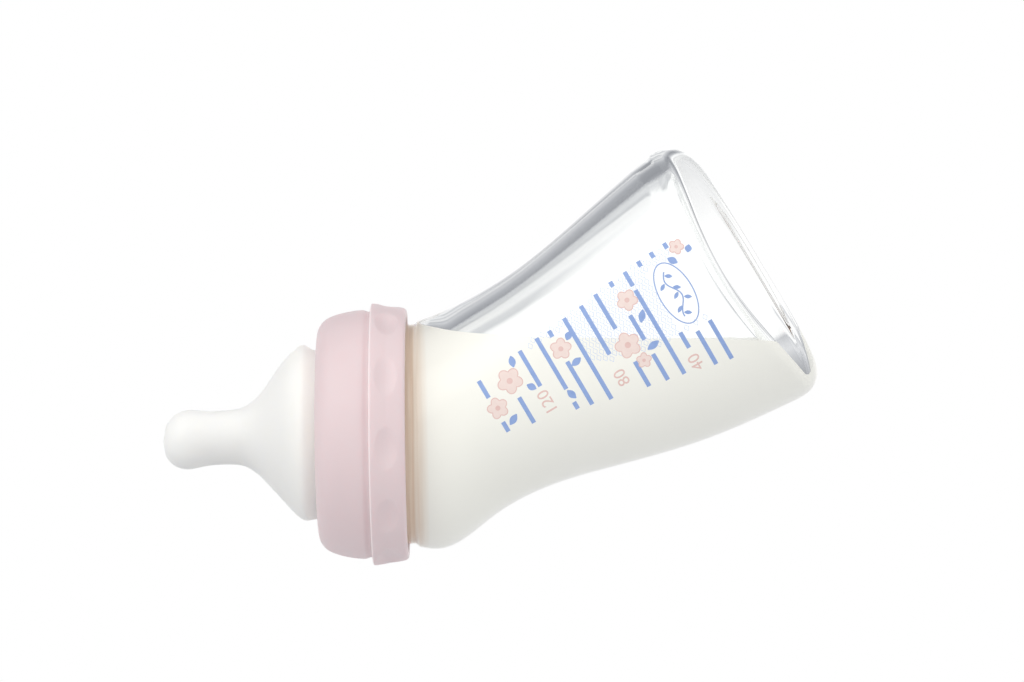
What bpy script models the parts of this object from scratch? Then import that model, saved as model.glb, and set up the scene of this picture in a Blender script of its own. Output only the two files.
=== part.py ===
"""Angled wide-neck glass baby bottle: glass bottle, screw collar and silicone teat.

Metres, +Z up.  The origin is the centre of the flat base.  The neck axis runs
along X, with the teat towards -X, and the base face looks along
(cos 30, 0, sin 30), because the body bends 30 degrees between neck and base.
Run with:  blender --background --python part.py
"""

import math

import bmesh
import bpy
import numpy as np
from mathutils import Matrix, Vector

MM = 0.001

# ---------------------------------------------------------------- dimensions
# All lengths in millimetres, turned into metres where the mesh is made.
BEND_DEG = 30.0          # neck axis to base normal
RIM_X = -109.4           # mouth rim of the glass, along the neck axis
NECK_Z = -44.3           # height of the neck axis under the base centre

# glass neck, measured outward (towards the teat) from the rim
NECK_BORE_R = 24.6
NECK_ROOT_R = 27.6       # plain wall between the thread turns
NECK_FOOT_R = 28.5       # band between collar and shoulder
RIM_ROUND = 1.1
NECK_STEP_AT = -14.4     # root radius grows to foot radius here
NECK_END_AT = -21.3      # the shoulder starts here

# Body sections between neck and heel: share of the way along the body, then
# the section's upper edge (x, z), its lower edge (x, z), its half depth in Y,
# and the wall there.
SECTIONS = (
    (0.00, -87.0, -14.9, -87.0, -73.7, 29.4, 4.8),
    (0.05, -83.2, -13.5, -82.0, -74.2, 30.1, 5.2),
    (0.12, -78.4, -11.5, -75.2, -71.4, 30.0, 4.9),
    (0.20, -73.0, -8.8, -68.4, -66.2, 29.4, 4.5),
    (0.35, -63.3, -3.1, -54.2, -58.5, 28.9, 4.1),
    (0.50, -54.3, 3.6, -39.0, -53.9, 29.0, 4.1),
    (0.75, -40.1, 15.8, -13.3, -46.7, 30.2, 4.5),
    (1.00, -26.1, 27.9, 11.2, -36.4, 31.6, 5.0),
)
SQUARENESS = (2.0, 2.35)  # superellipse exponent at the neck and at the base
HEEL_R = 8.5              # rounding between wall and base at the top,
HEEL_SIDE_R = 1.2         # at the sides
HEEL_LOW_R = 6.5          # and at the bottom
FLOOR_EDGE = 4.4          # base glass at the upper edge of the floor,
FLOOR_LOW = 3.6           # at its lower edge
FLOOR_MIDDLE = 9.0        # and across the middle, where the floor is pushed up
FLOOR_CORNER_R = 2.4

# thread, right-handed
PITCH = 5.0
NECK_THREAD = dict(root=27.6, crest=28.85, start=-11.3, turns=1.7, w_root=2.0, w_crest=0.9)
COLLAR_THREAD = dict(root=29.25, crest=28.05, start=-11.3, turns=1.36, w_root=1.8, w_crest=0.8)
THREAD_LAG_TURNS = 0.34   # collar thread sits 1.7 mm behind the neck thread

# screw collar, as (radius, distance outward from the rim)
COLLAR_OUTSIDE = (
    (22.35, 3.92), (24.8, 3.92), (26.6, 3.84), (28.0, 3.40), (29.2, 2.50),
    (30.2, 1.20), (31.1, -0.60), (31.7, -2.80), (32.15, -5.50), (32.45, -8.50),
    (32.40, -9.60), (33.3, -9.75), (33.8, -9.95), (34.0, -10.4), (33.4, -14.4),
    (32.8, -18.2), (32.4, -19.0), (31.9, -19.3),
)
COLLAR_INSIDE = (
    (30.8, -19.3), (30.4, -18.9), (30.4, -13.6), (29.25, -12.9), (29.25, -2.6),
    (28.2, -2.0), (28.2, 1.85), (27.9, 2.22), (22.35, 2.22), (22.0, 2.55),
    (22.0, 3.57),
)
DIMPLES = 11
DIMPLE_AT = -14.4
DIMPLE_AXES = (1.6, 6.8, 3.4)     # radial, around, along
DIMPLE_DEPTH = 0.8
DIMPLE_PHASE_DEG = 11.3

# teat, as (radius, distance outward from the rim)
TEAT_HOLE_R = 0.5
TEAT_OUTSIDE = (
    (1.8, 44.1), (3.5, 43.75), (5.0, 43.0), (6.2, 41.9), (7.1, 40.4), (7.6, 38.9),
    (7.7, 37.2), (7.4, 34.8), (7.05, 32.0), (7.05, 28.6), (7.2, 25.6), (7.75, 23.2),
    (8.9, 21.2), (10.6, 19.2), (13.1, 17.2), (16.0, 14.9), (18.7, 12.6), (20.6, 10.7),
    (21.9, 9.0), (22.55, 7.6), (22.35, 6.4), (21.75, 5.2), (21.55, 4.3), (21.55, 2.1),
    (21.8, 1.9),
)
TEAT_FLANGE = ((27.3, 1.9), (27.7, 1.55), (27.7, 0.65), (27.35, 0.3))
TEAT_INSIDE = (
    (19.8, 0.3), (19.4, 0.7), (19.4, 7.4), (18.9, 9.2), (17.4, 11.3), (15.0, 13.3),
    (12.4, 15.4), (9.7, 17.6), (7.5, 20.0), (6.1, 22.4), (5.4, 24.8), (5.2, 28.2),
    (5.2, 33.0), (5.6, 37.0), (5.2, 39.4), (3.9, 41.2), (2.2, 42.2),
)
TEAT_DROOP = 1.25         # the soft tip hangs this far below the axis
DROOP_FROM = 14.0
TEAT_LEAN = (0.95, 12.5, 5.0)   # the cone leans up: how much, where, half width
VENT_AT = 8.2             # air-vent boss on the shoulder of the teat
VENT_AXES = (1.1, 1.9, 1.9)
VENT_R = 22.35

GLASS_SIDES = 48
COLLAR_SIDES = 60
TEAT_SIDES = 40


# ------------------------------------------------------------------- helpers
def spline(t, knots, values):
    """Natural cubic spline through (knots, values), read at t."""
    x, y = np.asarray(knots, float), np.asarray(values, float)
    n, h = len(x), np.diff(np.asarray(knots, float))
    a, b = np.eye(n), np.zeros(n)
    for i in range(1, n - 1):
        a[i, i - 1 : i + 2] = h[i - 1], 2 * (h[i - 1] + h[i]), h[i]
        b[i] = 6 * ((y[i + 1] - y[i]) / h[i] - (y[i] - y[i - 1]) / h[i - 1])
    m = np.linalg.solve(a, b)
    i = int(np.clip(np.searchsorted(x, t) - 1, 0, n - 2))
    u, v = x[i + 1] - t, t - x[i]
    return (
        m[i] * u**3 + m[i + 1] * v**3
    ) / (6 * h[i]) + (y[i] / h[i] - m[i] * h[i] / 6) * u + (
        y[i + 1] / h[i] - m[i + 1] * h[i] / 6
    ) * v


def section(t):
    """Centre, upward direction, half height, half depth and wall at share t."""
    cols = list(zip(*SECTIONS))
    tx, tz, bx, bz, depth, wall = (spline(t, cols[0], c) for c in cols[1:])
    centre = np.array([(tx + bx) / 2, 0, (tz + bz) / 2])
    up = np.array([tx - bx, 0, tz - bz])
    return centre, up / np.linalg.norm(up), np.linalg.norm(up) / 2, depth, wall


def oval(centre, up, height, depth, squareness=2.0, sides=GLASS_SIDES):
    """A ring of points, an ellipse or superellipse, in the plane of up and Y."""
    ring = []
    for k in range(sides):
        a = 2 * math.pi * k / sides
        c, s = math.cos(a), math.sin(a)
        c = math.copysign(abs(c) ** (2 / squareness), c)
        s = math.copysign(abs(s) ** (2 / squareness), s)
        ring.append(np.asarray(centre) + np.asarray(up) * height * c + np.array([0, depth * s, 0]))
    return ring


def squareness(t):
    a, b = SQUARENESS
    s = min(1.0, max(0.0, t / 0.6))
    return a + (b - a) * s * s * (3 - 2 * s)


def heel_radius(share):
    """Heel rounding round the base; share is 1 at the top, -1 at the bottom."""
    other = HEEL_R if share > 0 else HEEL_LOW_R
    return HEEL_SIDE_R + (other - HEEL_SIDE_R) * abs(share) ** 3


def floor_thickness(share):
    """Glass under the floor; share is 1 at its upper edge, -1 at its lower."""
    edge = FLOOR_EDGE if share > 0 else FLOOR_LOW
    return FLOOR_MIDDLE - (FLOOR_MIDDLE - edge) * share**2


def moved_in(ring, centre, insets):
    """Each point of a ring moved towards its centre by its own inset."""
    centre = np.asarray(centre)
    return [p - (p - centre) / np.linalg.norm(p - centre) * i for p, i in zip(ring, insets)]


def base_distance(point):
    """How far a point lies inside the base plane."""
    a = math.radians(BEND_DEG)
    return -(point[0] * math.cos(a) + point[2] * math.sin(a))


def neck_ring(radius, outward):
    return oval((RIM_X - outward, 0, NECK_Z), (0, 0, 1), radius, radius)


def bottle_rings():
    """Rings from the base's edge over the outside, the rim and the inside."""
    n = np.array([math.cos(math.radians(BEND_DEG)), 0, math.sin(math.radians(BEND_DEG))])
    rings = []
    centre, up, height, depth, _ = section(1.0)
    reach = base_distance(centre)
    shares = [math.cos(2 * math.pi * k / GLASS_SIDES) for k in range(GLASS_SIDES)]
    for off in (0.0, 0.12, 0.4, 1.0, 2.2, 4.4):      # distance from the base plane
        insets = []
        for share in shares:
            radius = heel_radius(share)
            left = max(0.0, radius - off)
            insets.append(radius - math.sqrt(max(0.0, radius**2 - left**2)))
        c = centre + n * (reach - off)
        rings.append(moved_in(oval(c, up, height, depth, squareness(1)), c, insets))
    for t in (1.0, 0.93, 0.86, 0.78, 0.7, 0.62, 0.54, 0.46, 0.39, 0.32, 0.26,
              0.21, 0.17, 0.135, 0.105, 0.075, 0.05, 0.025, 0.0):
        c, u, h, d, _ = section(t)
        rings.append(oval(c, u, h, d, squareness(t)))
    for r, z in (
        (NECK_FOOT_R, NECK_END_AT), (NECK_FOOT_R, NECK_STEP_AT - 1.0),
        (NECK_ROOT_R, NECK_STEP_AT), (NECK_ROOT_R, -8.0), (NECK_ROOT_R, -RIM_ROUND),
        (NECK_ROOT_R - 0.3 * RIM_ROUND, -0.3 * RIM_ROUND), (NECK_ROOT_R - RIM_ROUND, 0),
        (NECK_BORE_R + RIM_ROUND, 0), (NECK_BORE_R + 0.3 * RIM_ROUND, -0.3 * RIM_ROUND),
        (NECK_BORE_R, -RIM_ROUND), (NECK_BORE_R, -10.0), (NECK_BORE_R, -19.0),
    ):
        rings.append(neck_ring(r, z))
    inner_end = 0.93
    for t in (0.0, 0.035, 0.07, 0.105, 0.145, 0.19, 0.25, 0.32, 0.4, 0.5, 0.6,
              0.7, 0.8, 0.87, inner_end):
        c, u, h, d, w = section(t)
        rings.append(oval(c, u, h - w, d - w, squareness(t)))
    # the floor: the wall runs down to a small corner radius, and the floor is
    # an arch, thickest across the middle of the base
    c, u, h, d, w = section(inner_end)
    _, ub, hb, db, wb = section(1.0)
    wall = oval(c, u, h - w, d - w, squareness(1))
    foot = oval((0, 0, 0), ub, hb - wb, db - wb, squareness(1))
    for k in range(4):
        a = math.pi / 2 * k / 3
        ring = []
        for p, q in zip(wall, foot):
            thick = floor_thickness(np.dot(q, ub) / (hb - wb))
            to = thick + FLOOR_CORNER_R * (1 - math.sin(a))
            f = (base_distance(p) - to) / base_distance(p)
            middle = (1 - f) * c
            point = (1 - f) * p + f * q
            inward = (point - middle) / np.linalg.norm(point - middle)
            ring.append(point - inward * FLOOR_CORNER_R * (1 - math.cos(a)))
        rings.append(ring)
    for share in (0.78, 0.52, 0.25):
        ring = []
        for q in moved_in(foot, (0, 0, 0), [FLOOR_CORNER_R] * len(foot)):
            q = q * share
            ring.append(q - n * floor_thickness(np.dot(q, ub) / (hb - wb)))
        rings.append(ring)
    return rings, -n * FLOOR_MIDDLE


def loft(name, rings, last_point=None):
    """Closed body through rings; the first ring is capped flat."""
    bm = bmesh.new()
    cols = [[bm.verts.new(Vector(p) * MM) for p in ring] for ring in rings]
    for a, b in zip(cols, cols[1:]):
        for k in range(len(a)):
            j = (k + 1) % len(a)
            bm.faces.new((a[k], a[j], b[j], b[k]))
    bm.faces.new(list(reversed(cols[0])))
    if last_point is None:
        bm.faces.new(cols[-1])
    else:
        tip = bm.verts.new(Vector(last_point) * MM)
        for k in range(len(cols[-1])):
            bm.faces.new((cols[-1][k], cols[-1][(k + 1) % len(cols[-1])], tip))
    bmesh.ops.recalc_face_normals(bm, faces=bm.faces)
    mesh = bpy.data.meshes.new(name)
    bm.to_mesh(mesh)
    bm.free()
    return bpy.data.objects.new(name, mesh)


def helix_ridge(name, root, crest, start, turns, w_root, w_crest, first_turn, sides):
    """A trapezoid thread ridge about local Z, faded at both ends.

    It is sunk 0.4 mm into the wall that carries it, so that the union has
    material to join.
    """
    sunk = root - 0.4 if crest > root else root + 0.4
    steps = int(round(turns * sides))
    bm = bmesh.new()
    cols = []
    for i in range(steps + 1):
        turn = first_turn + turns * i / steps
        a = 2 * math.pi * turn
        z = start + PITCH * turns * i / steps
        fade = min(1.0, 0.15 + min(i, steps - i) / (0.09 * sides))
        tip = root + (crest - root) * fade
        w0, w1 = w_root / 2, w_crest / 2
        cols.append([
            bm.verts.new(Vector((r * math.cos(a), r * math.sin(a), z + dz)) * MM)
            for r, dz in ((sunk, -w0), (tip, -w1), (tip, w1), (sunk, w0))
        ])
    for a, b in zip(cols, cols[1:]):
        for k in range(4):
            j = (k + 1) % 4
            bm.faces.new((a[k], a[j], b[j], b[k]))
    bm.faces.new(cols[0])
    bm.faces.new(list(reversed(cols[-1])))
    bmesh.ops.recalc_face_normals(bm, faces=bm.faces)
    mesh = bpy.data.meshes.new(name)
    bm.to_mesh(mesh)
    bm.free()
    return bpy.data.objects.new(name, mesh)


def turned(name, loop, sides):
    """A closed (radius, z) loop turned about local Z by a Screw modifier."""
    bm = bmesh.new()
    verts = [bm.verts.new((r * MM, 0, z * MM)) for r, z in loop]
    for k in range(len(verts)):
        bm.edges.new((verts[k], verts[(k + 1) % len(verts)]))
    mesh = bpy.data.meshes.new(name)
    bm.to_mesh(mesh)
    bm.free()
    obj = bpy.data.objects.new(name, mesh)
    screw = obj.modifiers.new("turn", "SCREW")
    screw.axis = "Z"
    screw.angle = 2 * math.pi
    screw.steps = screw.render_steps = sides
    screw.use_merge_vertices = True
    screw.merge_threshold = 0.00001
    screw.use_smooth_shade = True
    return obj


def ellipsoids(name, places, axes, segments=16, rings=8):
    """One mesh of ellipsoids; places are 4x4 matrices, axes half lengths."""
    bm = bmesh.new()
    for place in places:
        size = Matrix.Diagonal((axes[0] * MM, axes[1] * MM, axes[2] * MM, 1))
        bmesh.ops.create_uvsphere(
            bm, u_segments=segments, v_segments=rings, radius=1.0, matrix=place @ size
        )
    mesh = bpy.data.meshes.new(name)
    bm.to_mesh(mesh)
    bm.free()
    return bpy.data.objects.new(name, mesh)


def boolean(obj, operation, other):
    mod = obj.modifiers.new(other.name, "BOOLEAN")
    mod.operation = operation
    mod.object = other
    mod.solver = "EXACT"


def principled(name, colour, roughness, metallic=0.0, transmission=0.0):
    mat = bpy.data.materials.new(name)
    mat.use_nodes = True
    node = mat.node_tree.nodes["Principled BSDF"]
    node.inputs["Base Color"].default_value = (*colour, 1)
    node.inputs["Roughness"].default_value = roughness
    node.inputs["Metallic"].default_value = metallic
    node.inputs["Transmission Weight"].default_value = transmission
    return mat


def evaluated_mesh(obj):
    bpy.context.view_layer.update()
    graph = bpy.context.evaluated_depsgraph_get()
    return bpy.data.meshes.new_from_object(obj.evaluated_get(graph))


# --------------------------------------------------------------------- build
def build():
    for obj in list(bpy.data.objects):
        bpy.data.objects.remove(obj, do_unlink=True)
    parts = bpy.data.collections.new("baby_bottle")
    tools = bpy.data.collections.new("cutters")
    for c in (parts, tools):
        bpy.context.scene.collection.children.link(c)

    # Local +Z of this empty points outward along the neck axis, towards the
    # teat, and its origin is at the rim: the collar turns about it.
    axis = bpy.data.objects.new("neck_axis", None)
    axis.location = (RIM_X * MM, 0, NECK_Z * MM)
    axis.rotation_euler = (0, -math.pi / 2, 0)
    axis.empty_display_size = 0.02
    parts.objects.link(axis)

    def tool(obj):
        obj.parent = axis
        obj.hide_render = True
        obj.display_type = "WIRE"
        tools.objects.link(obj)
        return obj

    # glass bottle
    rings, floor = bottle_rings()
    glass = loft("glass_bottle", rings, floor)
    parts.objects.link(glass)
    ridge = tool(helix_ridge("neck_thread", first_turn=0.0, sides=GLASS_SIDES, **NECK_THREAD))
    boolean(glass, "UNION", ridge)

    # screw collar: a domed front, and a wider grip ring with finger dimples
    collar = turned("screw_collar", COLLAR_OUTSIDE + COLLAR_INSIDE, COLLAR_SIDES)
    collar.parent = axis
    parts.objects.link(collar)
    inner = tool(
        helix_ridge(
            "collar_thread", first_turn=THREAD_LAG_TURNS, sides=COLLAR_SIDES, **COLLAR_THREAD
        )
    )
    boolean(collar, "UNION", inner)
    surface = 33.4
    places = []
    for k in range(DIMPLES):
        turn = Matrix.Rotation(2 * math.pi * k / DIMPLES + math.radians(90 + DIMPLE_PHASE_DEG), 4, "Z")
        out = (surface - DIMPLE_DEPTH + DIMPLE_AXES[0]) * MM
        places.append(turn @ Matrix.Translation((out, 0, DIMPLE_AT * MM)))
    dimples = tool(ellipsoids("grip_dimples", places, DIMPLE_AXES))
    boolean(collar, "DIFFERENCE", dimples)

    # teat: nipple, cone, shoulder, groove for the collar's lip, and flange
    loop = ((TEAT_HOLE_R, 44.15),) + TEAT_OUTSIDE + TEAT_FLANGE + TEAT_INSIDE + ((TEAT_HOLE_R, 42.4),)
    blank = turned("teat_blank", loop, TEAT_SIDES)
    parts.objects.link(blank)
    mesh = evaluated_mesh(blank)
    parts.objects.unlink(blank)
    bpy.data.objects.remove(blank, do_unlink=True)
    length = TEAT_OUTSIDE[0][1] - DROOP_FROM
    for v in mesh.vertices:
        s = max(0.0, (v.co.z / MM - DROOP_FROM) / length)
        v.co.x -= TEAT_DROOP * MM * s**1.5
        lean, at, width = TEAT_LEAN
        v.co.x += lean * MM * math.exp(-(((v.co.z / MM - at) / width) ** 2))
    mesh.name = "teat"
    teat = bpy.data.objects.new("teat", mesh)
    teat.parent = axis
    parts.objects.link(teat)
    boss = tool(
        ellipsoids(
            "vent_boss", [Matrix.Translation((VENT_R * MM, 0, VENT_AT * MM))], VENT_AXES, 14, 10
        )
    )
    boolean(teat, "UNION", boss)

    glass.data.materials.append(principled("clear_glass", (0.93, 0.95, 0.95), 0.03, 0, 1.0))
    collar.data.materials.append(principled("pink_plastic", (0.86, 0.69, 0.71), 0.32))
    teat.data.materials.append(principled("silicone", (0.93, 0.91, 0.87), 0.35))
    for obj in (glass, teat):
        obj.data.shade_smooth()
        obj.data.set_sharp_from_angle(angle=math.radians(40))


build()
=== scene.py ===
"""Looks of the angled glass baby bottle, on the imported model's fixed frame."""

import math

import bmesh
import bpy
import numpy as np
from mathutils import Matrix, Vector
from mathutils.bvhtree import BVHTree


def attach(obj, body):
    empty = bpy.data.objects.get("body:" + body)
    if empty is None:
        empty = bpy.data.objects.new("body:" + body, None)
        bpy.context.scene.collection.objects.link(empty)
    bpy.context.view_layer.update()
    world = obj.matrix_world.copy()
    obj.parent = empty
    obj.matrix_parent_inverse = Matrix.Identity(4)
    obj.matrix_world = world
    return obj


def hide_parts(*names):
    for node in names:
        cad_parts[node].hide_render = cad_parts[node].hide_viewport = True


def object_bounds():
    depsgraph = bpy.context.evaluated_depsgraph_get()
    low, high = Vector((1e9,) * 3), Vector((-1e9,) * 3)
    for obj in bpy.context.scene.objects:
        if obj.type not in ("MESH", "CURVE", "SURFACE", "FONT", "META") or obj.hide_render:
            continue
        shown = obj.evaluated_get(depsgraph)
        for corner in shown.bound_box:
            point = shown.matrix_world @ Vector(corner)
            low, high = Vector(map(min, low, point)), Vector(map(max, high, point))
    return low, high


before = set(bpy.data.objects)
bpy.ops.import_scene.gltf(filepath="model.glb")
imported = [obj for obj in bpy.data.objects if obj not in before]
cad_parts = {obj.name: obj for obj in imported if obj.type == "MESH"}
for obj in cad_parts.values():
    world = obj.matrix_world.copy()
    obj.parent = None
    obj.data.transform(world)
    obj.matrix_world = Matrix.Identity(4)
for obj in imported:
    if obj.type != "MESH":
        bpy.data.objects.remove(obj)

CAD_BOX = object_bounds()
MM = 0.001
scene = bpy.context.scene

# ------------------------------------------------------------------ camera
# Level with the milk, looking along +Y, from a long way off.
ROLL = math.radians(0.6)
AIM = Vector((-0.06278, 0.0, -0.02040))
DISTANCE = 1.157
camera = bpy.data.objects.new("camera", bpy.data.cameras.new("camera"))
scene.collection.objects.link(camera)
camera.data.lens = 156.4
camera.data.sensor_width = 36.0
camera.data.clip_start, camera.data.clip_end = 0.05, 60.0
right = Vector((math.cos(ROLL), 0, -math.sin(ROLL)))
up = Vector((math.sin(ROLL), 0, math.cos(ROLL)))
camera.matrix_world = Matrix.Translation(AIM - Vector((0, DISTANCE, 0))) @ Matrix(
    (right, up, Vector((0, -1, 0)))
).transposed().to_4x4()
scene.camera = camera

# ------------------------------------------- dimensions, as in the CAD, in mm
BEND_DEG = 30.0
RIM_X = -109.4
NECK_Z = -44.3
NECK_BORE_R = 24.6
NECK_ROOT_R = 27.6
NECK_FOOT_R = 28.5
RIM_ROUND = 1.1
NECK_STEP_AT = -14.4
NECK_END_AT = -21.3
SECTIONS = (
    (0.00, -87.0, -14.9, -87.0, -73.7, 29.4, 4.8),
    (0.05, -83.2, -13.5, -82.0, -74.2, 30.1, 5.2),
    (0.12, -78.4, -11.5, -75.2, -71.4, 30.0, 4.9),
    (0.20, -73.0, -8.8, -68.4, -66.2, 29.4, 4.5),
    (0.35, -63.3, -3.1, -54.2, -58.5, 28.9, 4.1),
    (0.50, -54.3, 3.6, -39.0, -53.9, 29.0, 4.1),
    (0.75, -40.1, 15.8, -13.3, -46.7, 30.2, 4.5),
    (1.00, -26.1, 27.9, 11.2, -36.4, 31.6, 5.0),
)
SQUARENESS = (2.0, 2.35)
HEEL_R = 8.5              # rounding between wall and base at the top,
HEEL_SIDE_R = 1.2         # at the sides
HEEL_LOW_R = 6.5          # and at the bottom
FLOOR_EDGE = 4.4          # base glass at the upper edge of the floor,
FLOOR_LOW = 3.6           # at its lower edge
FLOOR_MIDDLE = 9.0        # and across the middle, where the floor is pushed up
FLOOR_CORNER_R = 2.4
PITCH = 5.0
BASE_N = Vector((math.cos(math.radians(BEND_DEG)), 0, math.sin(math.radians(BEND_DEG))))
BASE_D = Vector((math.sin(math.radians(BEND_DEG)), 0, -math.cos(math.radians(BEND_DEG))))
MILK_Z = -19.6            # level of the milk at x = -63
MILK_WET = 0.06           # the milk reaches this far into the glass


# ------------------------------------------------------------------ helpers
def spline(t, knots, values):
    """Natural cubic spline through (knots, values), read at t."""
    x, y = np.asarray(knots, float), np.asarray(values, float)
    n, h = len(x), np.diff(x)
    a, b = np.eye(n), np.zeros(n)
    for i in range(1, n - 1):
        a[i, i - 1 : i + 2] = h[i - 1], 2 * (h[i - 1] + h[i]), h[i]
        b[i] = 6 * ((y[i + 1] - y[i]) / h[i] - (y[i] - y[i - 1]) / h[i - 1])
    m = np.linalg.solve(a, b)
    t = np.asarray(t, float)
    i = np.clip(np.searchsorted(x, t) - 1, 0, n - 2)
    u, v = x[i + 1] - t, t - x[i]
    return (
        (m[i] * u**3 + m[i + 1] * v**3) / (6 * h[i])
        + (y[i] / h[i] - m[i] * h[i] / 6) * u
        + (y[i + 1] / h[i] - m[i + 1] * h[i] / 6) * v
    )


def smooth_profile(points, per=6, corner=()):
    """A smooth curve through (r, z) points; splits at the corner indices."""
    out, cuts = [], [0, *corner, len(points) - 1]
    for lo, hi in zip(cuts, cuts[1:]):
        part = np.array(points[lo : hi + 1], float)
        if len(part) < 3:
            pts = part
        else:
            s = np.r_[0, np.cumsum(np.sqrt(np.hypot(*np.diff(part, axis=0).T)))]
            t = np.linspace(0, s[-1], per * (len(part) - 1) + 1)
            pts = np.column_stack([spline(t, s, part[:, 0]), spline(t, s, part[:, 1])])
        out += [tuple(p) for p in (pts if not out else pts[1:])]
    return out


def section(t):
    cols = list(zip(*SECTIONS))
    tx, tz, bx, bz, depth, wall = (float(spline(t, cols[0], c)) for c in cols[1:])
    centre = np.array([(tx + bx) / 2, 0, (tz + bz) / 2])
    upv = np.array([tx - bx, 0, tz - bz])
    return centre, upv / np.linalg.norm(upv), np.linalg.norm(upv) / 2, depth, wall


def squareness(t):
    a, b = SQUARENESS
    s = min(1.0, max(0.0, t / 0.6))
    return a + (b - a) * s * s * (3 - 2 * s)


def oval(centre, upv, height, depth, power, sides):
    a = np.arange(sides) * 2 * np.pi / sides
    c, s = np.cos(a), np.sin(a)
    r = (np.abs(c) ** power + np.abs(s) ** power) ** (-1 / power)
    return (
        np.asarray(centre)[None]
        + np.outer(height * r * c, upv)
        + np.outer(depth * r * s, (0, 1, 0))
    )


def heel_ring(centre, upv, height, depth, power, off_base, sides):
    """A ring of the heel, at a distance from the base's plane."""
    pts = oval(centre, upv, height, depth, power, sides)
    a = np.arange(sides) * 2 * np.pi / sides
    c = np.cos(a)
    radius = HEEL_SIDE_R + (HEEL_R - HEEL_SIDE_R) * np.clip(c, 0, 1) ** 3 + (HEEL_LOW_R - HEEL_SIDE_R) * np.clip(-c, 0, 1) ** 3
    left = np.clip(radius - off_base, 0, None)
    inset = radius - np.sqrt(np.clip(radius**2 - left**2, 0, None))
    ray = pts - np.asarray(centre)[None]
    return pts - ray / np.linalg.norm(ray, axis=1)[:, None] * inset[:, None]


def base_distance(p):
    return -(p[0] * BASE_N.x + p[2] * BASE_N.z)


def neck_ring(radius, outward, sides):
    return oval((RIM_X - outward, 0, NECK_Z), (0, 0, 1), radius, radius, 2.0, sides)


def arc(n):
    return [math.pi / 2 * k / n for k in range(n + 1)]


def outside_rings(sides):
    n = np.array(BASE_N)
    rings = []
    centre, upv, height, depth, _ = section(1.0)
    reach = base_distance(centre)
    for a in reversed(arc(18)[1:]):
        off = reach * (1 - math.sin(a))
        rings.append(heel_ring(centre + n * (reach - off), upv, height, depth, squareness(1), off, sides))
    for t in np.linspace(1, 0, 90):
        c, u, h, d, _ = section(t)
        rings.append(oval(c, u, h, d, squareness(t), sides))
    # the shoulder steps softly down to the neck
    c, u, h, d, _ = section(0.0)
    for k in range(1, 7):
        f = k / 6
        e = f * f * (3 - 2 * f)
        x = -87.0 + f * (RIM_X - NECK_END_AT - 0.4 + 87.0)
        rings.append(oval((x, 0, NECK_Z), (0, 0, 1), h + (NECK_FOOT_R - h) * e, d + (NECK_FOOT_R - d) * e, 2.0, sides))
    for r, z in (
        (NECK_FOOT_R, NECK_STEP_AT - 2.0), (NECK_FOOT_R, NECK_STEP_AT - 1.1),
        (NECK_FOOT_R - 0.1, NECK_STEP_AT - 0.8), (NECK_ROOT_R + 0.12, NECK_STEP_AT - 0.25),
        (NECK_ROOT_R, NECK_STEP_AT), (NECK_ROOT_R, -11.0), (NECK_ROOT_R, -7.0), (NECK_ROOT_R, -3.0),
    ):
        rings.append(neck_ring(r, z, sides))
    middle = (NECK_ROOT_R + NECK_BORE_R) / 2
    half = (NECK_ROOT_R - NECK_BORE_R) / 2
    for k in range(0, 15):
        a = math.pi * k / 14
        c, s = math.cos(a), math.sin(a)
        rings.append(neck_ring(
            middle + half * math.copysign(abs(c) ** 0.7, c), -RIM_ROUND + RIM_ROUND * abs(s) ** 0.7, sides))
    return rings


def inside_rings(sides, grow=0.0):
    """The inner wall from the rim to the floor, moved outward by grow."""
    n = np.array(BASE_N)
    rings = []
    for z in (-1.6, -4, -7, -10, -13, -16, -18):
        rings.append(neck_ring(NECK_BORE_R + grow, z, sides))
    c0, u0, h0, d0, w0 = section(0.0)
    for k in range(1, 9):
        f = k / 9
        e = f * f * (3 - 2 * f)
        x = (RIM_X + 18) + f * (-87.0 - RIM_X - 18)
        rings.append(neck_ring(NECK_BORE_R + (h0 - w0 - NECK_BORE_R) * e + grow, RIM_X - x, sides))
    end = 0.93
    for t in np.linspace(0, end, 80):
        c, u, h, d, w = section(t)
        rings.append(oval(c, u, h - w + grow, d - w + grow, squareness(t), sides))
    # the wall runs down to a small corner, and the floor is an arch
    c, u, h, d, w = section(end)
    cb, ub, hb, db, wb = section(1.0)
    wall = oval(c, u, h - w + grow, d - w + grow, squareness(1), sides)
    foot = oval((0, 0, 0), ub, hb - wb + grow, db - wb + grow, squareness(1), sides)
    wall_off = -(wall @ n)
    thick = floor_thickness(foot @ ub / (hb - wb)) - grow
    last = []
    for k in list(np.linspace(0, 1, 6)[1:]) + [1 + v for v in np.linspace(0, 1, 9)[1:]]:
        if k <= 1:      # straight down the wall
            to, inset = wall_off + (thick + FLOOR_CORNER_R - wall_off) * k, 0.0
        else:           # round the corner
            a = math.pi / 2 * (k - 1)
            to, inset = thick + FLOOR_CORNER_R * (1 - math.sin(a)), FLOOR_CORNER_R * (1 - math.cos(a))
        f = ((wall_off - to) / wall_off)[:, None]
        middle = (1 - f) * c[None]
        point = (1 - f) * wall + f * foot
        inward = (point - middle) / np.linalg.norm(point - middle, axis=1)[:, None]
        rings.append(point - inward * inset)
    reach = np.linalg.norm(foot, axis=1)[:, None]
    flat = foot * (reach - FLOOR_CORNER_R) / reach
    for share in (0.94, 0.86, 0.76, 0.65, 0.53, 0.41, 0.29, 0.17, 0.08):
        q = flat * share
        rings.append(q - np.outer(floor_thickness(q @ ub / (hb - wb)) - grow, n))
    return rings, -n * (FLOOR_MIDDLE - grow)


def floor_thickness(share):
    """Glass under the floor; share is 1 at its upper edge, -1 at its lower."""
    edge = np.where(share > 0, FLOOR_EDGE, FLOOR_LOW)
    return FLOOR_MIDDLE - (FLOOR_MIDDLE - edge) * share**2


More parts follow.
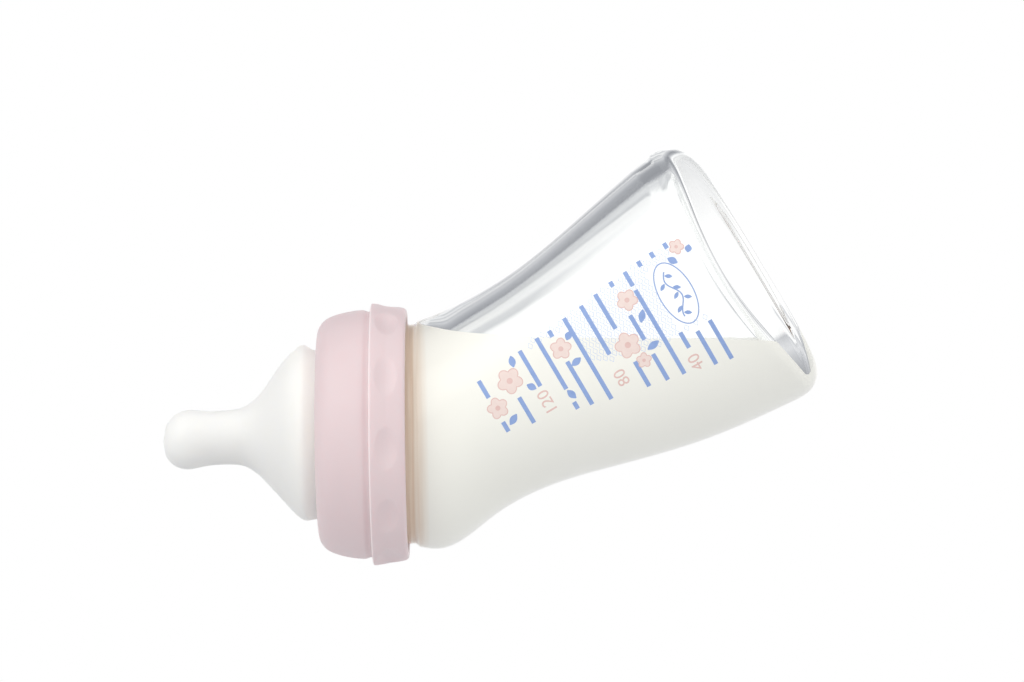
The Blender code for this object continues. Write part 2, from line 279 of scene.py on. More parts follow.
def mesh_object(name, bm, smooth=True, angle=None):
    bmesh.ops.recalc_face_normals(bm, faces=bm.faces)
    mesh = bpy.data.meshes.new(name)
    bm.to_mesh(mesh)
    bm.free()
    obj = bpy.data.objects.new(name, mesh)
    scene.collection.objects.link(obj)
    if smooth:
        mesh.shade_smooth()
        if angle:
            mesh.set_sharp_from_angle(angle=math.radians(angle))
    return obj


def loft(name, rings, first_point=None, last_point=None, angle=None, loop=False):
    """A body through rings of points, in mm; points close the ends."""
    bm = bmesh.new()
    cols = [[bm.verts.new(Vector(p) * MM) for p in ring] for ring in rings]
    pairs = list(zip(cols, cols[1:] + ([cols[0]] if loop else [])))
    for a, b in pairs:
        for k in range(len(a)):
            j = (k + 1) % len(a)
            bm.faces.new((a[k], a[j], b[j], b[k]))
    for ring, point in (() if loop else ((cols[0], first_point), (cols[-1], last_point))):
        if point is None:
            bm.faces.new(ring)
        else:
            tip = bm.verts.new(Vector(point) * MM)
            for k in range(len(ring)):
                bm.faces.new((ring[k], ring[(k + 1) % len(ring)], tip))
    return mesh_object(name, bm, angle=angle)


def on_neck(r, around, outward):
    """A point from its radius, angle from the top, and distance out of the rim."""
    return (RIM_X - outward, r * math.sin(around), NECK_Z + r * math.cos(around))


def turned_rings(loop, sides, shift=None):
    """Rings for a closed (radius, outward) loop about the neck axis."""
    rings = []
    for r, z in loop:
        ring = []
        for k in range(sides):
            a = 2 * math.pi * k / sides
            rr, zz = (r, z) if shift is None else shift(r, z, a)
            ring.append(on_neck(rr, a, zz))
        rings.append(ring)
    return rings


def helix_ridge(name, root, crest, start, turns, w_root, w_crest, first_turn, sides):
    """A thread ridge with a rounded crest, sunk 0.4 mm into its wall."""
    sunk = root - 0.4 if crest > root else root + 0.4
    steps = int(round(turns * sides))
    bm = bmesh.new()
    cols = []
    for i in range(steps + 1):
        a = 2 * math.pi * (first_turn + turns * i / steps)
        z = start + PITCH * turns * i / steps
        f = min(1.0, min(i, steps - i) / (0.1 * sides))
        fade = 0.12 + 0.88 * f * f * (3 - 2 * f)
        tip = root + (crest - root) * fade
        soft = root + (crest - root) * fade * 0.8
        shape = ((sunk, -w_root / 2), (soft, -w_crest / 2 - 0.12), (tip, -w_crest / 2 + 0.2),
                 (tip, w_crest / 2 - 0.2), (soft, w_crest / 2 + 0.12), (sunk, w_root / 2))
        cols.append([bm.verts.new(Vector(on_neck(r, a, z + dz)) * MM) for r, dz in shape])
    for a, b in zip(cols, cols[1:]):
        for k in range(6):
            j = (k + 1) % 6
            bm.faces.new((a[k], a[j], b[j], b[k]))
    bm.faces.new(cols[0])
    bm.faces.new(list(reversed(cols[-1])))
    return mesh_object(name, bm)


def joined(obj, other, operation="UNION"):
    """The Boolean is worked out once and kept as the object's own mesh."""
    mod = obj.modifiers.new("join", "BOOLEAN")
    mod.operation, mod.object, mod.solver = operation, other, "EXACT"
    bpy.context.view_layer.update()
    made = bpy.data.meshes.new_from_object(obj.evaluated_get(bpy.context.evaluated_depsgraph_get()))
    obj.modifiers.clear()
    obj.data = made
    bpy.data.objects.remove(other, do_unlink=True)
    made.shade_smooth()
    made.set_sharp_from_angle(angle=math.radians(35))


# ---------------------------------------------------------------- materials
class Mat:
    """A Principled material with small helpers to wire procedural detail."""

    def __init__(self, name, colour, roughness, **sockets):
        self.m = bpy.data.materials.new(name)
        self.m.use_nodes = True
        self.t = self.m.node_tree
        self.p = self.t.nodes["Principled BSDF"]
        self.p.inputs["Base Color"].default_value = (*colour, 1)
        self.p.inputs["Roughness"].default_value = roughness
        for k, v in sockets.items():
            self.p.inputs[k.replace("_", " ")].default_value = v
        self.coords = self.t.nodes.new("ShaderNodeTexCoord").outputs["Object"]

    def noise(self, scale, detail=4.0, rough=0.55, stretch=None):
        n = self.t.nodes.new("ShaderNodeTexNoise")
        n.inputs["Scale"].default_value = scale
        n.inputs["Detail"].default_value = detail
        n.inputs["Roughness"].default_value = rough
        if stretch:
            m = self.t.nodes.new("ShaderNodeMapping")
            m.inputs["Scale"].default_value = stretch
            self.t.links.new(self.coords, m.inputs["Vector"])
            self.t.links.new(m.outputs["Vector"], n.inputs["Vector"])
        else:
            self.t.links.new(self.coords, n.inputs["Vector"])
        return n.outputs["Fac"]

    def between(self, fac, lo, hi, from_lo=0.3, from_hi=0.7):
        r = self.t.nodes.new("ShaderNodeMapRange")
        r.inputs["From Min"].default_value, r.inputs["From Max"].default_value = from_lo, from_hi
        r.inputs["To Min"].default_value, r.inputs["To Max"].default_value = lo, hi
        self.t.links.new(fac, r.inputs["Value"])
        return r.outputs["Result"]

    def ramp(self, fac, *stops):
        r = self.t.nodes.new("ShaderNodeValToRGB")
        while len(r.color_ramp.elements) < len(stops):
            r.color_ramp.elements.new(0.5)
        for e, (at, colour) in zip(r.color_ramp.elements, stops):
            e.position, e.color = at, (*colour, 1)
        self.t.links.new(fac, r.inputs["Fac"])
        return r.outputs["Color"]

    def axis(self, direction, lo, hi):
        """0 to 1 along a direction of the object's own space, in mm."""
        d = self.t.nodes.new("ShaderNodeVectorMath")
        d.operation = "DOT_PRODUCT"
        d.inputs[1].default_value = direction
        self.t.links.new(self.coords, d.inputs[0])
        return self.between(d.outputs["Value"], 0, 1, lo * MM, hi * MM)

    def mix(self, fac, a, b, kind="MIX"):
        m = self.t.nodes.new("ShaderNodeMix")
        m.data_type, m.blend_type = "RGBA", kind
        for sock, v in ((m.inputs["Factor"], fac), (m.inputs["A"], a), (m.inputs["B"], b)):
            if hasattr(v, "is_linked"):
                self.t.links.new(v, sock)
            elif isinstance(v, (int, float)):
                sock.default_value = v
            else:
                sock.default_value = (*v, 1)
        return m.outputs["Result"]

    def bump(self, fac, height_mm, strength=1.0, after=None):
        b = self.t.nodes.new("ShaderNodeBump")
        b.inputs["Strength"].default_value = strength
        b.inputs["Distance"].default_value = height_mm * MM
        self.t.links.new(fac, b.inputs["Height"])
        if after is not None:
            self.t.links.new(after, b.inputs["Normal"])
        return b.outputs["Normal"]

    def set(self, **links):
        for k, v in links.items():
            self.t.links.new(v, self.p.inputs[k.replace("_", " ")])
        return self

    def on(self, *objs):
        for o in objs:
            o.data.materials.clear()
            o.data.materials.append(self.m)


# glass: clear, with the faint waviness and flow lines of pressed glass
glass_mat = Mat("clear_glass", (0.985, 0.992, 0.99), 0.0, Transmission_Weight=1.0, IOR=1.5)
wave = glass_mat.noise(55, 2.0, 0.5)
flow = glass_mat.noise(170, 3.0, 0.6, (1.0, 0.35, 0.35))
glass_mat.set(
    Roughness=glass_mat.between(glass_mat.noise(240, 4.0), 0.0, 0.012),
    Normal=glass_mat.bump(flow, 0.004, 0.5, glass_mat.bump(wave, 0.05, 0.5)),
)
# soft light goes straight through to the milk
path = glass_mat.t.nodes.new("ShaderNodeLightPath")
either = glass_mat.t.nodes.new("ShaderNodeMath")
either.operation = "MAXIMUM"
glass_mat.t.links.new(path.outputs["Is Shadow Ray"], either.inputs[0])
glass_mat.t.links.new(path.outputs["Is Diffuse Ray"], either.inputs[1])
# and light that has been trapped in the thick base for several turns gets out
for name, most in (("Glossy Depth", 2.5), ("Ray Depth", 7.5)):
    trapped = glass_mat.t.nodes.new("ShaderNodeMath")
    trapped.operation = "GREATER_THAN"
    trapped.inputs[1].default_value = most
    glass_mat.t.links.new(path.outputs[name], trapped.inputs[0])
    more = glass_mat.t.nodes.new("ShaderNodeMath")
    more.operation = "MAXIMUM"
    glass_mat.t.links.new(either.outputs["Value"], more.inputs[0])
    glass_mat.t.links.new(trapped.outputs["Value"], more.inputs[1])
    either = more
clear = glass_mat.t.nodes.new("ShaderNodeBsdfTransparent")
clear.inputs["Color"].default_value = (0.98, 0.985, 0.98, 1)
mixed = glass_mat.t.nodes.new("ShaderNodeMixShader")
glass_mat.t.links.new(either.outputs["Value"], mixed.inputs["Fac"])
glass_mat.t.links.new(glass_mat.p.outputs["BSDF"], mixed.inputs[1])
glass_mat.t.links.new(clear.outputs["BSDF"], mixed.inputs[2])
glass_mat.t.links.new(mixed.outputs["Shader"], glass_mat.t.nodes["Material Output"].inputs["Surface"])

milk_mat = Mat("milk", (0.90, 0.885, 0.85), 0.32, Subsurface_Weight=0.0, IOR=1.35)
milk_mat.p.inputs["Specular IOR Level"].default_value = 0.25
white = milk_mat.mix(milk_mat.between(milk_mat.noise(26, 3.0), 0, 1), (0.94, 0.925, 0.865), (0.92, 0.905, 0.84))
# painted shade and painted pink reflection of the collar: a beige band with fine streaks in the milk at the neck, next
# to the collar's edge
painted_collar_shade = milk_mat.mix(milk_mat.between(milk_mat.noise(1100, 2.0, 0.5, (1.0, 0.03, 0.03)), 0, 1),
                    (0.75, 0.565, 0.42), (0.85, 0.70, 0.56))
painted_collar_shade = milk_mat.mix(milk_mat.axis((1, 0, 0), -93.2, -91.2), white, painted_collar_shade)
milk_mat.set(
    Base_Color=milk_mat.mix(milk_mat.axis((1, 0, 0), -87.8, -84.0), painted_collar_shade, white),
    Roughness=milk_mat.between(milk_mat.noise(90, 3.0), 0.28, 0.38),
    Normal=milk_mat.bump(milk_mat.noise(60, 2.0), 0.02, 0.3),
)

pink_mat = Mat("pink_plastic", (0.82, 0.65, 0.66), 0.36, Subsurface_Weight=0.25,
               Subsurface_Radius=(0.9, 0.5, 0.5), Subsurface_Scale=0.002)
pink_mat.p.inputs["Specular IOR Level"].default_value = 0.8
grain = pink_mat.noise(900, 3.0, 0.6)
# painted highlight: a light line along the front edge of the grip ring, standing in for its catch-light
painted_edge_highlight = pink_mat.mix(pink_mat.axis((1, 0, 0), -99.47, -99.29), (0, 0, 0), (1, 1, 1))
painted_edge_highlight = pink_mat.mix(pink_mat.axis((1, 0, 0), -99.17, -98.9), painted_edge_highlight, (0, 0, 0))
pink_mat.set(
    Base_Color=pink_mat.mix(
        painted_edge_highlight,
        pink_mat.mix(pink_mat.between(pink_mat.noise(35, 3.0), 0, 1), (0.76, 0.622, 0.634), (0.735, 0.593, 0.607)),
        (0.93, 0.81, 0.815)),
    Roughness=pink_mat.between(pink_mat.noise(220, 4.0), 0.38, 0.48),
    Normal=pink_mat.bump(grain, 0.012, 0.5, pink_mat.bump(pink_mat.noise(70, 2.0), 0.05, 0.3)),
)

teat_mat = Mat("silicone", (0.88, 0.865, 0.82), 0.38, Subsurface_Weight=0.6,
               Subsurface_Radius=(1.0, 0.95, 0.85), Subsurface_Scale=0.004, IOR=1.41)
teat_mat.set(
    Base_Color=teat_mat.mix(
        teat_mat.axis((-1, 0, 0), 118, 148), (0.965, 0.935, 0.875), (0.945, 0.93, 0.885)),
    Roughness=teat_mat.between(teat_mat.noise(150, 4.0), 0.32, 0.44),
    Normal=teat_mat.bump(teat_mat.noise(650, 3.0), 0.01, 0.5),
)


def ink(name, colour, other):
    m = Mat(name, colour, 0.45)
    m.set(
        Base_Color=m.mix(m.between(m.noise(700, 3.0), 0, 1), colour, other),
        Roughness=m.between(m.noise(500, 3.0), 0.38, 0.55),
        Normal=m.bump(m.noise(1400, 3.0), 0.006, 0.5),
    )
    return m


blue_ink = ink("blue_enamel", (0.25, 0.365, 0.67), (0.285, 0.405, 0.71))
pale_ink = ink("pale_blue_enamel", (0.47, 0.58, 0.83), (0.56, 0.66, 0.87))
pink_ink = ink("pink_enamel", (0.74, 0.50, 0.46), (0.78, 0.55, 0.51))
petal_ink = ink("pale_pink_enamel", (0.83, 0.68, 0.63), (0.86, 0.72, 0.67))

# -------------------------------------------------------------------- glass
SIDES = 288
inner, floor_point = inside_rings(SIDES)
flat_edge = outside_rings(SIDES)
glass = loft("glass_bottle_fine", flat_edge + inner, first_point=(0, 0, 0), last_point=floor_point)
joined(glass, helix_ridge("neck_thread", 27.6, 28.85, -11.3, 1.7, 2.0, 0.9, 0.0, 120))
glass_mat.on(glass)
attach(glass, "bottle")
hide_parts("glass_bottle")

# --------------------------------------------------------------------- milk
cavity, cavity_floor = inside_rings(SIDES, MILK_WET)
milk = loft("milk", cavity, last_point=cavity_floor)
bm = bmesh.new()
bm.from_mesh(milk.data)
normal = Vector((math.sin(ROLL), 0, math.cos(ROLL)))
cut = bmesh.ops.bisect_plane(
    bm, geom=bm.verts[:] + bm.edges[:] + bm.faces[:], dist=1e-7,
    plane_co=Vector((-62.8, 0, MILK_Z)) * MM, plane_no=normal, clear_outer=True)
rim = [e for e in cut["geom_cut"] if isinstance(e, bmesh.types.BMEdge)]
bmesh.ops.contextual_create(bm, geom=rim)
bmesh.ops.recalc_face_normals(bm, faces=bm.faces)
bm.to_mesh(milk.data)
bm.free()
milk.data.shade_smooth()
milk.data.set_sharp_from_angle(angle=math.radians(30))
milk_mat.on(milk)
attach(milk, "bottle")

# ------------------------------------------------------------------- collar
COLLAR_OUTSIDE = (
    (22.02, 3.40), (22.12, 3.78), (22.45, 3.92), (24.8, 3.92), (26.6, 3.82), (28.0, 3.40), (29.2, 2.55),
    (30.2, 1.30), (31.0, -0.50), (31.65, -2.80), (32.1, -5.20), (32.32, -7.40),
    (32.22, -8.50), (31.95, -9.20), (31.95, -10.05), (33.55, -10.05), (33.88, -10.17), (34.0, -10.48),
    (33.42, -14.4), (32.85, -18.2), (32.62, -18.8), (32.2, -19.22), (31.7, -19.3),
)
COLLAR_INSIDE = (
    (31.2, -19.3), (30.6, -19.15), (30.4, -18.7), (30.4, -13.6), (29.25, -12.9), (29.25, -2.6), (28.2, -2.0),
    (28.2, 1.85), (27.9, 2.22), (22.45, 2.22), (22.08, 2.38), (22.02, 2.75),
)
DIMPLES = 11
DIMPLE_AT, DIMPLE_HALF_LONG, DIMPLE_HALF_ROUND, DIMPLE_DEPTH = -14.4, 3.0, 5.6, 0.85


def dimpled(r, z, a):
    if not (r > 32.5 and -18.6 < z < -10.2):
        return r, z
    step = 2 * math.pi / DIMPLES
    # the empty's angle runs the same way as this one
    off = (a - math.radians(264.9) + step / 2) % step - step / 2
    q = (off * r / DIMPLE_HALF_ROUND) ** 2 + ((z - DIMPLE_AT) / DIMPLE_HALF_LONG) ** 2
    if q >= 1:
        return r, z
    return r - DIMPLE_DEPTH * (1 - q) ** 1.15, z


out = smooth_profile(COLLAR_OUTSIDE, 5, (14, 15, 16, 18, 20))
ring_part = []
for (r0, z0), (r1, z1) in zip(out, out[1:]):
    ring_part.append((r0, z0))
    if r0 > 32.6 and z0 < -10.2 and z1 > -18.5 and z0 - z1 > 0.2:
        k = max(1, int((z0 - z1) / 0.22))
        ring_part += [(r0 + (r1 - r0) * i / k, z0 + (z1 - z0) * i / k) for i in range(1, k)]
ring_part.append(out[-1])
collar = loft(
    "screw_collar_fine",
    turned_rings(ring_part + list(COLLAR_INSIDE), 330, dimpled),
    loop=True, angle=50)
joined(collar, helix_ridge("collar_thread", 29.25, 28.05, -11.3, 1.36, 1.8, 0.8, 0.34, 120))
pink_mat.on(collar)
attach(collar, "collar")
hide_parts("screw_collar")

# --------------------------------------------------------------------- teat
TEAT_OUTSIDE = (
    (0.5, 44.05), (0.75, 44.15), (1.8, 44.05), (3.5, 43.7), (5.0, 42.95), (6.2, 41.85), (7.1, 40.4), (7.6, 38.9),
    (7.72, 37.2), (7.4, 34.8), (7.05, 32.0), (7.03, 28.6), (7.2, 25.6), (7.75, 23.2),
    (8.9, 21.2), (10.6, 19.2), (13.1, 17.1), (16.0, 14.85), (18.7, 12.6), (20.6, 10.75),
    (21.9, 9.05), (22.55, 7.6), (22.4, 6.4), (22.05, 5.2), (21.95, 4.3), (21.95, 3.4), (21.95, 2.15),
    (22.3, 1.95),
)
TEAT_FLANGE = ((27.2, 1.92), (27.55, 1.8), (27.7, 1.5), (27.7, 0.7), (27.55, 0.42), (27.2, 0.3))
TEAT_INSIDE = (
    (19.9, 0.3), (19.5, 0.45), (19.4, 0.8), (19.4, 4.0), (19.4, 7.4), (18.9, 9.2), (17.4, 11.3), (15.0, 13.3),
    (12.4, 15.4), (9.7, 17.6), (7.5, 20.0), (6.1, 22.4), (5.4, 24.8), (5.2, 28.2),
    (5.2, 33.0), (5.6, 37.0), (5.2, 39.4), (3.9, 41.2), (2.2, 42.2), (0.75, 42.38), (0.5, 42.6),
)
profile = (
    smooth_profile(TEAT_OUTSIDE, 5, (26,))
    + smooth_profile(TEAT_FLANGE, 2)
    + smooth_profile(TEAT_INSIDE, 4, (3,))
)


def soft_teat(r, z, a):
    """The small air-vent boss on the top of the shoulder."""
    if r > 19.9 and z > 5.8:
        a0 = (a + math.pi) % (2 * math.pi) - math.pi
        q = (a0 * r / 2.4) ** 2 + ((z - 7.9) / 2.2) ** 2
        if q < 1:
            r += 0.5 * (1 - q) ** 0.9
    return r, z


rings = turned_rings(profile, 180, soft_teat)
for ring in rings:
    for k, (x, y, z) in enumerate(ring):
        s = max(0.0, ((RIM_X - x) - 14.0) / 30.1)
        lift = 0.95 * math.exp(-((RIM_X - x - 12.5) / 5.0) ** 2)
        ring[k] = (x, y, z - 1.25 * s**1.5 + lift)
teat = loft("teat_fine", rings, loop=True, angle=50)
teat_mat.on(teat)
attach(teat, "teat")
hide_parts("teat")

# ------------------------------------------------- enamel print on the glass
# Label coordinates, in mm: along = distance from the base plane, across =
# down the base's direction.  They are laid on the glass along Y.
probe = BVHTree.FromObject(glass, bpy.context.evaluated_depsgraph_get())


def on_glass(along, across):
    p = (-BASE_N * along + BASE_D * across) * MM
    hit, n, _, _ = probe.ray_cast(Vector((p.x, -0.2, p.z)), Vector((0, 1, 0)))
    return hit, n


INK = 0.05  # mm proud


def laid_on(name, faces2d, material, thick=INK):
    """Closed thin bodies from flat polygons (points shared by index)."""
    bm = bmesh.new()
    for pts, faces in faces2d:
        low, top = [], []
        for a, b in pts:
            hit, n = on_glass(a, b)
            low.append(bm.verts.new(hit - n * 0.01 * MM))
            top.append(bm.verts.new(hit + n * thick * MM))
        edges = {}
        for f in faces:
            bm.faces.new([top[i] for i in f])
            bm.faces.new([low[i] for i in reversed(f)])
            for i, j in zip(f, f[1:] + f[:1]):
                edges[(i, j)] = edges.get((i, j), 0) + 1
        for i, j in edges:
            if (j, i) not in edges:
                bm.faces.new((top[j], top[i], low[i], low[j]))
    obj = mesh_object(name, bm, angle=40)
    material.on(obj)
    obj.visible_shadow = False      # so thin that the milk behind stays evenly lit
    obj.visible_diffuse = False
    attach(obj, "bottle")
    return obj


def grid(point, nu, nv, closed=False):
    """A sheet of quads; point(i, j) gives label coordinates."""
    pts = [point(i / nu, j / nv) for i in range(nu + (0 if closed else 1)) for j in range(nv + 1)]
    rows = nu + (0 if closed else 1)
    faces = []
    for i in range(nu):
        for j in range(nv):
            k = (i + 1) % rows
            faces.append([i * (nv + 1) + j, k * (nv + 1) + j, k * (nv + 1) + j + 1, i * (nv + 1) + j + 1])
    return pts, faces


def bar(along, start, end, width=1.15):
    n = max(2, int(abs(end - start) / 0.7))
    return grid(lambda u, v: (along + width * (v - 0.5), start + (end - start) * u), n, 2)


def stroke(path, width):
    """A ribbon of even width along a path of label points."""
    path = [np.array(p, float) for p in path]
    closed = np.linalg.norm(path[0] - path[-1]) < 1e-6
    if closed:
        path = path[:-1]
    m = len(path)
    pts = []
    for i in range(m):
        a = path[(i - 1) % m] if closed or i else path[0]
        b = path[(i + 1) % m] if closed or i < m - 1 else path[-1]
        t = b - a
        t = t / (np.linalg.norm(t) or 1)
        side = np.array([-t[1], t[0]])
        w = width(i / (m - 1)) if callable(width) else width
        pts += [tuple(path[i] + side * w / 2), tuple(path[i] - side * w / 2)]
    faces = [
        [2 * i, 2 * i + 1, 2 * ((i + 1) % m) + 1, 2 * ((i + 1) % m)]
        for i in range(m if closed else m - 1)
    ]
    return pts, faces


# volume bars, every 10 ml from 20 to 140; the spaces open up towards the neck
MARKS = {20: 18.8, 30: 22.9, 40: 26.8, 50: 31.1, 60: 35.5, 70: 40.4, 80: 45.0,
         90: 50.3, 100: 55.2, 110: 58.9, 120: 64.2, 130: 70.3, 140: 77.0}
SPANS = {
    140: ((-9.3, -4.3), (2.8, 5.6)), 130: ((-0.5, 7.0),), 120: ((-10.6, -0.2),),
    110: ((-11.2, 3.8), (7.6, 9.6)), 100: ((-11.2, -9.4), (-2.1, 10.5)), 90: ((-12.0, 11.8),),
    80: ((-12.5, 1.8),), 70: ((-13.2, -3.0), (6.6, 13.9)), 60: ((-14.0, -12.5), (-4.1, 3.1), (7.3, 14.9)),
    50: ((-14.3, -10.1), (-8.9, 15.7)), 40: ((-14.9, -13.3), (6.1, 10.6)),
    30: ((-15.2, -13.6), (8.0, 17.7)), 20: ((-15.5, -13.9), (7.2, 18.5)),
}
laid_on("print_bars", [bar(MARKS[k], a, b) for k in MARKS for a, b in SPANS[k]], blue_ink)


def petals(cx, cy, r, turn=0.0):
    """The filled, scalloped shape under a flower."""
    def at(u, v):
        a = 2 * math.pi * u
        q = r * (0.68 + 0.32 * abs(math.cos(2.5 * a + turn))) * max(v, 0.01)
        return cx + q * math.cos(a), cy + q * math.sin(a)
    return grid(at, 56, 4, True)


def blossom(cx, cy, r, turn=0.0):
    """A plain daisy: five round petals and a centre."""
    parts = []
    edge = [(cx + q * math.cos(a), cy + q * math.sin(a)) for a, q in (
        (2 * math.pi * k / 56, r * (0.68 + 0.32 * abs(math.cos(2.5 * 2 * math.pi * k / 56 + turn)))) for k in range(57))]
    parts.append(stroke(edge, 0.26))
    parts.append(grid(lambda u, v: (cx + 0.02 + r * 0.24 * max(v, 0.02) * math.cos(2 * math.pi * u),
                                    cy + r * 0.24 * max(v, 0.02) * math.sin(2 * math.pi * u)), 16, 2, True))
    return parts


FLOWERS = ((70.2, -5.3, 3.3), (76.3, -0.9, 2.7), (54.9, -5.7, 2.7), (34.2, -7.8, 2.7),
           (39.8, 2.1, 3.3), (38.2, 7.5, 1.9), (16.6, -13.1, 1.9))
laid_on("print_petals", [petals(*f, turn=k) for k, f in enumerate(FLOWERS)], petal_ink, 0.07)
laid_on("print_flowers", [p for k, f in enumerate(FLOWERS) for p in blossom(*f, turn=k)], pink_ink, 0.10)


def leaf(cx, cy, length, angle, width=0.9):
    c, s = math.cos(angle), math.sin(angle)

    def at(u, v):
        x = (u - 0.5) * length
        y = (v - 0.5) * 2 * width * math.sin(math.pi * min(max(u, 0.03), 0.97)) ** 0.8
        return cx + c * x - s * y, cy + s * x + c * y

    return grid(at, 10, 2)


laid_on("print_leaves", [
    leaf(74.4, 3.6, 3.2, 0.5), leaf(53.2, -0.9, 3.0, 0.2), leaf(58.4, 5.6, 3.0, 1.9), leaf(34.3, 5.4, 3.6, 0.15),
    leaf(67.2, -9.2, 3.0, 1.3), leaf(33.0, -2.4, 3.4, 0.9), leaf(66.2, -1.2, 2.6, -0.9), leaf(19.2, -10.6, 2.8, 2.2),
    leaf(51.6, -7.6, 2.4, 0.7), leaf(14.2, -11.2, 2.0, 0.9),
], blue_ink)


# a plain oval with a sprig in it
FCX, FCY, FW, FH = 22.6, -3.0, 8.6, 17.0
laid_on("print_frame", [
    stroke([(FCX + FW / 2 * math.cos(t), FCY + FH / 2 * math.sin(t)) for t in np.linspace(0, 2 * math.pi, 73)], 0.3),
], blue_ink)

stem = [(FCX + 1.1 * math.sin(u * 2.6 * math.pi), FCY - 6.2 + 12.4 * u) for u in np.linspace(0, 1, 50)]
sprig = [stroke(stem, 0.34)]
for k in range(7):
    u = 0.08 + k * 0.14
    x, y = FCX + 1.1 * math.sin(u * 2.6 * math.pi), FCY - 6.2 + 12.4 * u
    side = 1 if k % 2 else -1
    sprig.append(leaf(x + side * 1.15, y + 0.5, 2.0, math.pi / 2 - side * 1.0, 0.5))
laid_on("print_sprig", sprig, blue_ink)

# a light net of small diamonds behind the marks
net = []
for i, along in enumerate(np.arange(19.4, 62.0, 1.35)):
    for across in np.arange(-15.0, 8.0, 1.9):
        a, b = along, across + (0.95 if i % 2 else 0)
        low = 6.2 if a < 34 else 6.2 - (a - 34) * 0.28
        high = -15.0 + (a - 19) * 0.085
        edge = abs(b - high) < 2.2
        near_frame = abs(a - FCX) < FW / 2 + 3.2 and abs(b - FCY) < FH / 2 + 1.2
        inside = abs(a - FCX) < FW / 2 + 0.5 and abs(b - FCY) < FH / 2 + 0.4
        middle = 30 < a < 50 and -12 < b < low
        if b < high or inside or not (edge or near_frame or middle):
            continue
        net.append(stroke([(a - 0.62, b), (a, b + 0.85), (a + 0.62, b), (a, b - 0.85), (a - 0.62, b)], 0.13))
laid_on("print_net", net, pale_ink, 0.03)


# volume numbers, from the built-in face, read with the bottle on its base
def number(text, along, across, size):
    curve = bpy.data.curves.new("n" + text, "FONT")
    curve.body, curve.size, curve.align_x, curve.align_y = text, size, "CENTER", "CENTER"
    curve.resolution_u = 4
    tmp = bpy.data.objects.new("n" + text, curve)
    scene.collection.objects.link(tmp)
    bpy.context.view_layer.update()
    mesh = bpy.data.meshes.new_from_object(tmp.evaluated_get(bpy.context.evaluated_depsgraph_get()))
    bpy.data.objects.remove(tmp, do_unlink=True)
    b = bmesh.new()
    b.from_mesh(mesh)
    bmesh.ops.remove_doubles(b, verts=b.verts, dist=1e-5)
    bmesh.ops.triangulate(b, faces=b.faces)
    pts = [(along + v.co.y, across - v.co.x) for v in b.verts]
    faces = [[v.index for v in f.verts] for f in b.faces]
    b.free()
    return pts, faces


laid_on("print_numbers", [
    number("120", 64.6, 4.2, 4.4), number("80", 45.2, 8.4, 4.4), number("40", 27.0, 14.6, 4.4),
], pink_ink)

# ------------------------------------------------------------ floor and light
# A pale round floor that turns into the white sweep at its edge.
floor_z = CAD_BOX[0].z - 0.24
bpy.ops.mesh.primitive_circle_add(vertices=128, radius=2.4, fill_type="NGON", location=(AIM.x, 0, floor_z))
floor = bpy.context.object
floor.name = "floor"
floor_mat = Mat("floor", (0.9, 0.9, 0.9), 0.75)
length = floor_mat.t.nodes.new("ShaderNodeVectorMath")
length.operation = "LENGTH"
floor_mat.t.links.new(floor_mat.coords, length.inputs[0])
sweep = floor_mat.between(length.outputs["Value"], 0, 1, 0.5, 2.2)
floor_mat.p.inputs["Emission Color"].default_value = (1, 1, 1, 1)
floor_mat.p.inputs["Specular IOR Level"].default_value = 0.0
floor_mat.set(
    Base_Color=floor_mat.mix(sweep, floor_mat.mix(
        floor_mat.between(floor_mat.noise(2.0, 3.0), 0, 1), (0.90, 0.90, 0.90), (0.91, 0.91, 0.91)), (0, 0, 0)),
    Emission_Strength=sweep,
)
floor_mat.on(floor)
floor.visible_diffuse = False     # the object is lit from below by the studio, softly


def area(name, at, look, size, power, colour=(1, 1, 1)):
    data = bpy.data.lights.new(name, "AREA")
    data.shape, data.size, data.size_y = "RECTANGLE", size[0], size[1]
    data.energy, data.color = power, colour
    obj = bpy.data.objects.new(name, data)
    scene.collection.objects.link(obj)
    obj.location = at
    obj.rotation_euler = (Vector(look) - Vector(at)).to_track_quat("-Z", "Y").to_euler()
    obj.visible_transmission = False      # soft light only: no hard caustics in the milk,
    obj.visible_glossy = False            # and no sharp-edged panes on the glass
    return obj


area("top_soft", (-0.35, -0.35, 1.1), (-0.06, 0, -0.03), (0.9, 0.9), 1.5, (1.0, 0.99, 0.98))
area("front_left", (-0.9, -1.1, 0.35), (-0.06, 0, -0.03), (0.7, 0.9), 0.7)

# The studio round it: a white panel behind, grey beyond its edges, soft boxes.
world = bpy.data.worlds.new("studio")
scene.world = world
world.use_nodes = True
wt = world.node_tree
back = wt.nodes["Background"]
wc = wt.nodes.new("ShaderNodeTexCoord")
sep = wt.nodes.new("ShaderNodeSeparateXYZ")
wt.links.new(wc.outputs["Generated"], sep.inputs["Vector"])


def world_range(socket, lo, hi):
    r = wt.nodes.new("ShaderNodeMapRange")
    r.inputs["From Min"].default_value, r.inputs["From Max"].default_value = lo, hi
    wt.links.new(socket, r.inputs["Value"])
    return r.outputs["Result"]


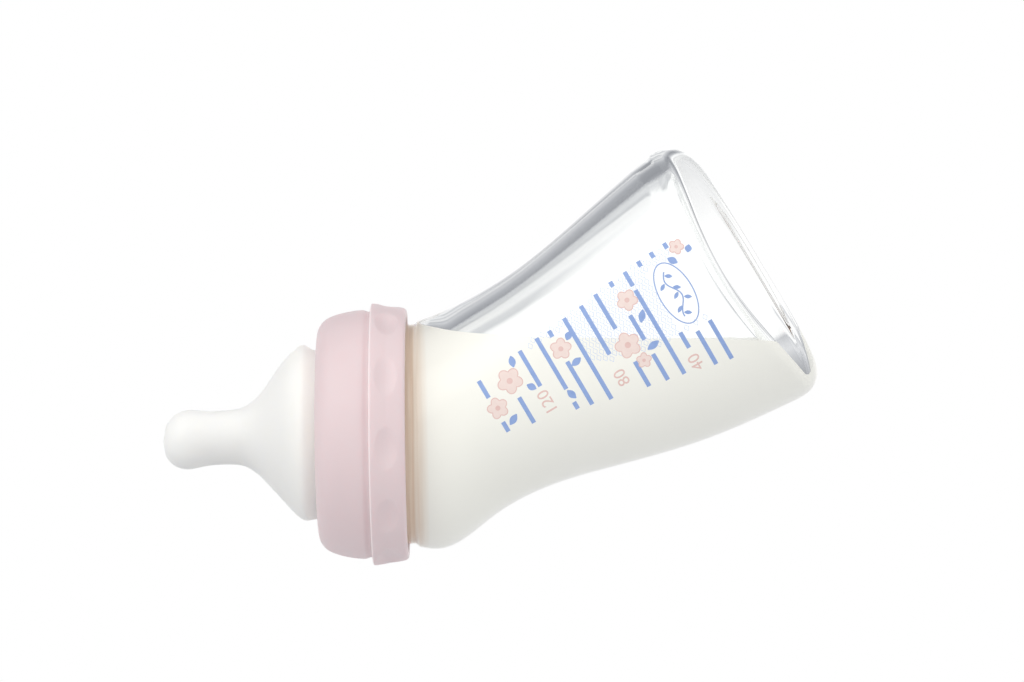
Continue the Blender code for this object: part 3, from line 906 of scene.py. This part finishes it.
def world_mix(fac, a, b):
    m = wt.nodes.new("ShaderNodeMix")
    m.data_type = "RGBA"
    for sock, v in ((m.inputs["Factor"], fac), (m.inputs["A"], a), (m.inputs["B"], b)):
        if isinstance(v, tuple):
            sock.default_value = v
        else:
            wt.links.new(v, sock)
    return m.outputs["Result"]


def by_elevation(*stops):
    """Brightness for each elevation in degrees."""
    r = wt.nodes.new("ShaderNodeValToRGB")
    while len(r.color_ramp.elements) < len(stops):
        r.color_ramp.elements.new(0.5)
    for e, (deg, v) in zip(r.color_ramp.elements, stops):
        e.position = (math.sin(math.radians(deg)) + 1) / 2
        cool = max(0.0, 1 - v) * 0.16
        e.color = (v * (1 - cool), v * (1 - cool * 0.7), v, 1)
    wt.links.new(world_range(sep.outputs["Z"], -1, 1), r.inputs["Fac"])
    return r.outputs["Color"]


behind_left = by_elevation(
    (-90, 0.72), (-15, 0.80), (-9, 0.90), (-7.5, 1.05), (6.6, 1.05), (7.6, 0.68), (9.5, 0.74), (11, 1.0),
    (15.3, 1.0), (16.8, 0.60), (19.5, 0.73), (21.5, 0.76), (24.5, 0.62), (29, 0.50), (35, 0.39), (46, 0.34),
    (60, 0.5), (90, 0.78))
behind_right = by_elevation(
    (-90, 0.74), (-15, 0.84), (-9, 0.94), (-7.5, 1.10), (18, 1.10), (24, 0.80), (30, 0.50), (34, 0.34),
    (46, 0.36), (60, 0.55), (90, 0.90))
behind = world_mix(world_range(sep.outputs["X"], -0.09, -0.03), behind_left, behind_right)
before = by_elevation((-90, 0.77), (-20, 0.85), (0, 1.0), (25, 1.05), (90, 1.05))
key = wt.nodes.new("ShaderNodeVectorMath")
key.operation = "DOT_PRODUCT"
key.inputs[1].default_value = Vector((-0.45, -0.65, 0.6)).normalized()
wt.links.new(wc.outputs["Generated"], key.inputs[0])
before = world_mix(world_range(key.outputs["Value"], 0.88, 0.985), before, (2.0, 1.99, 1.95, 1))
studio = world_mix(world_range(sep.outputs["Y"], -0.3, 0.3), before, behind)
lp = wt.nodes.new("ShaderNodeLightPath")
wt.links.new(world_mix(lp.outputs["Is Camera Ray"], studio, (1, 1, 1, 1)), back.inputs["Color"])
back.inputs["Strength"].default_value = 1.0

scene.view_settings.view_transform = "Standard"
scene.view_settings.look = "None"
